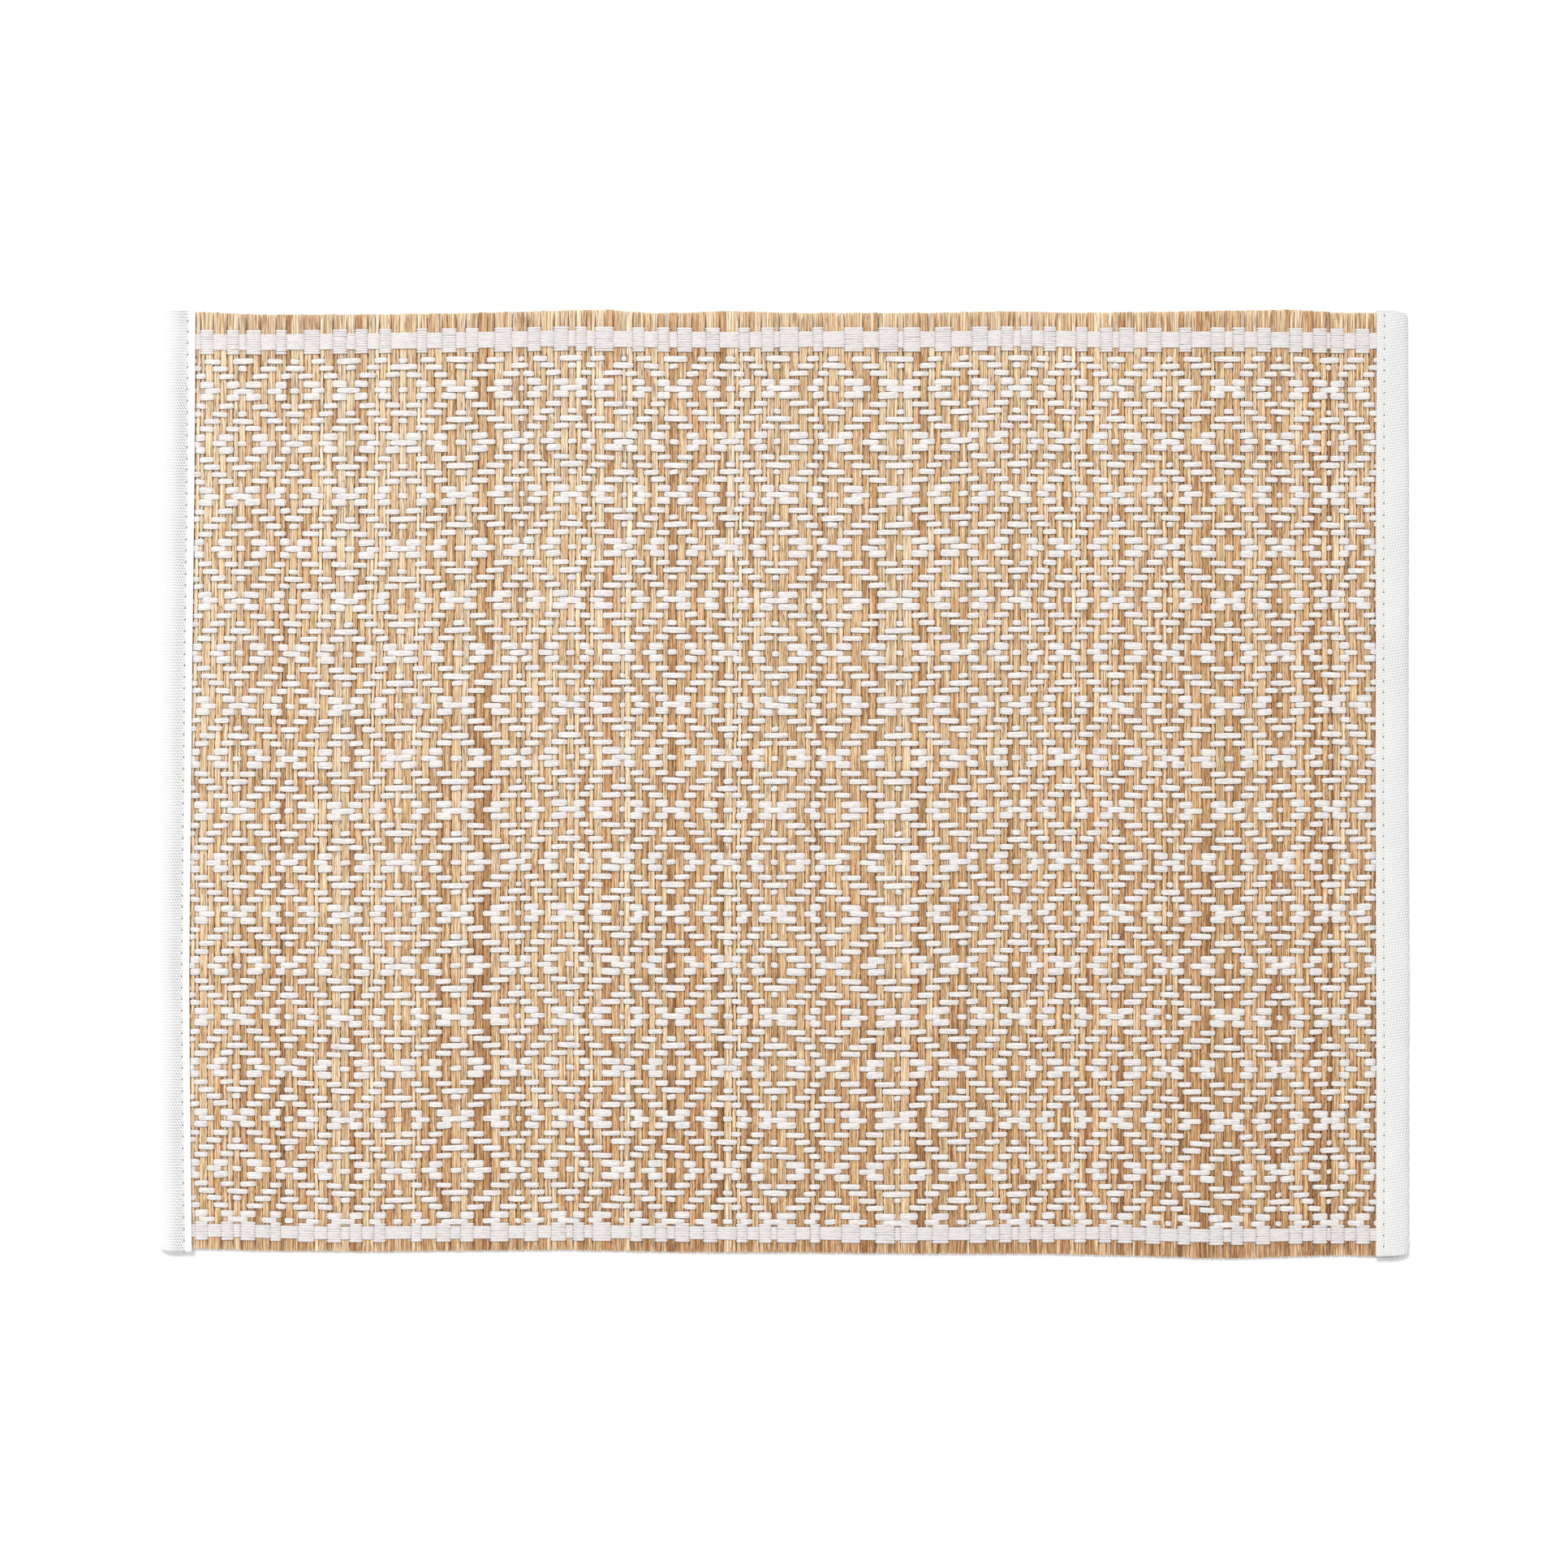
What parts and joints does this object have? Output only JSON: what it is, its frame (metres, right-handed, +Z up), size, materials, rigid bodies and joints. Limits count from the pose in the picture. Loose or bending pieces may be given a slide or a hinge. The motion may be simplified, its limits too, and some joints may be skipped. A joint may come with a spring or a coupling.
{
  "type": "woven grass placemat",
  "caption": "Rectangular table mat woven from dried grass stems and white cotton yarn in a diamond twill, its short ends bound in white cotton tape.",
  "frame": {"origin": "centre of the underside, on the table", "axes": "+X along the long side, towards the right binding in the picture's view from above; +Y along the grass stems, towards the picture's top edge; +Z up"},
  "size_m": [0.452, 0.3428, 0.0034],
  "materials": {
    "dried_grass": "dried grass stems with a soft gloss, tied by matt white cotton yarn",
    "white_cotton": "matt plain-woven white cotton"
  },
  "bodies": {
    "root": {"woven_mat": "dried_grass", "binding_left": "white_cotton", "binding_right": "white_cotton"}
  },
  "joints": []
}
